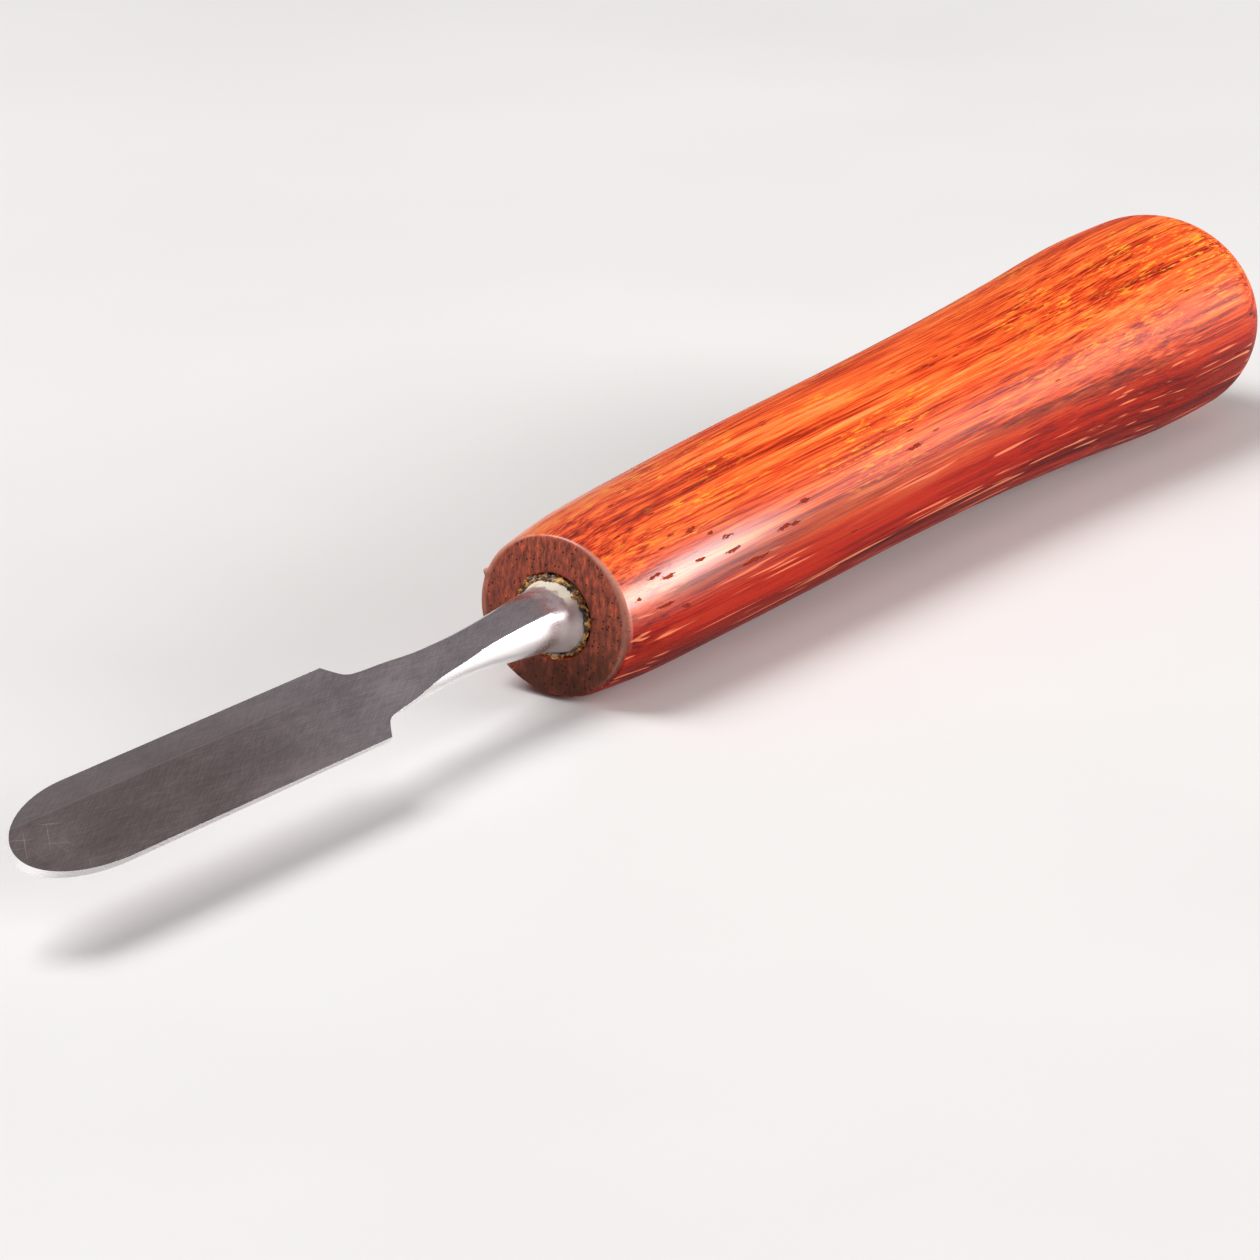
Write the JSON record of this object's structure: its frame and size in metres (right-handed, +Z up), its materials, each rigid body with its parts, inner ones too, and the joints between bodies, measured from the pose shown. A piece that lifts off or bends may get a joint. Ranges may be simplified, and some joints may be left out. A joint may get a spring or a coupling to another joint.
{
  "type": "lino cutter",
  "caption": "Hand cutter lying on a table: thin flat round-ended steel blade and neck glued into a turned reddish hardwood handle with a bulbed butt.",
  "frame": {"origin": "under the middle of the tool's bounding box, on the surface that it lies on", "axes": "+Z up, +X from the blade towards the butt; the handle's axis rises 1.4 degrees towards the butt and the blade's face is rolled 31.7 degrees about it, towards -Y"},
  "size_m": [0.1792, 0.0218, 0.02],
  "materials": {
    "steel": "ground and polished, fine scratches",
    "wood": "oiled reddish rosewood, open pores",
    "glue": "cured amber glue, uneven"
  },
  "bodies": {
    "root": {"blade_shank": "steel", "handle": "wood", "glue": "glue"}
  },
  "joints": []
}
